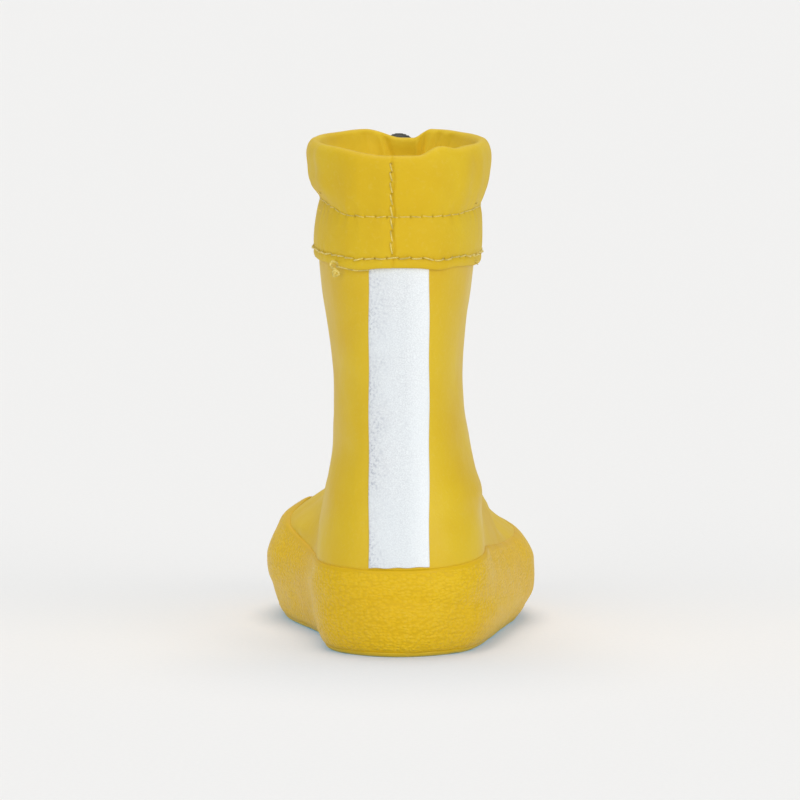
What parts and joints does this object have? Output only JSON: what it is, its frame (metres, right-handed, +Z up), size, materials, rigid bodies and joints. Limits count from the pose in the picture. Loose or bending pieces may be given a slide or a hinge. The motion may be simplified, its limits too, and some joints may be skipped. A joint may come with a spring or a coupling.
{
  "type": "rubber rain boot",
  "caption": "Short right-foot rubber rain boot for a small child, with textured foxing, a reflective strip down the back and a fabric drawcord cuff with a cord lock.",
  "frame": {"origin": "on the ground, under the middle of the sole's length and width", "axes": "+Z up, toe towards -Y, heel towards +Y, inner (medial) side of the foot towards +X"},
  "size_m": [0.0898, 0.1705, 0.1672],
  "materials": {
    "outsole_rubber": "satin, moulded",
    "foxing_rubber": "fine raised weave, satin",
    "upper_rubber": "smooth satin",
    "foam": "closed-cell foam, matt",
    "board": "pressed fibre board, matt",
    "stiffener": "matt",
    "lining_cloth": "brushed knit, matt",
    "footbed_cloth": "flat weave, matt",
    "reflective_tape": "glass-bead reflective tape",
    "cuff_cloth": "coated fabric, soft sheen",
    "thread": "twisted polyester thread",
    "cord": "braided elastic cord",
    "lock_plastic": "moulded plastic, satin",
    "eyelet_metal": "satin",
    "spring_steel": "drawn wire"
  },
  "bodies": {
    "boot": {"outsole": "outsole_rubber", "foxing": "foxing_rubber", "midsole": "foam", "upper_shell": "upper_rubber", "heel_counter": "stiffener", "toe_puff": "stiffener", "lining": "lining_cloth", "insole_board": "board", "footbed_foam": "foam", "footbed_cover": "footbed_cloth", "reflective_strip": "reflective_tape", "cuff_fabric": "cuff_cloth", "hem_stitching": "thread", "tunnel_stitching": "thread", "seam_stitching": "thread", "drawcord": "cord", "cord_eyelet": "eyelet_metal", "cord_end": "lock_plastic"},
    "cord_lock": {"lock_barrel": "lock_plastic", "lock_spring": "spring_steel"},
    "lock_button": {"lock_plunger": "lock_plastic"}
  },
  "joints": [
    {"name": "lock_slide", "type": "slide", "parent": "boot", "child": "cord_lock", "axis": [0, -1, 0], "range_m": [0, 0.01]},
    {"name": "button_press", "type": "slide", "parent": "cord_lock", "child": "lock_button", "axis": [0, 0, -1], "range_m": [0, 0.0032], "stiffness_N_per_m": 900, "springref_m": -0.0015, "deforming": ["lock_spring"]}
  ]
}
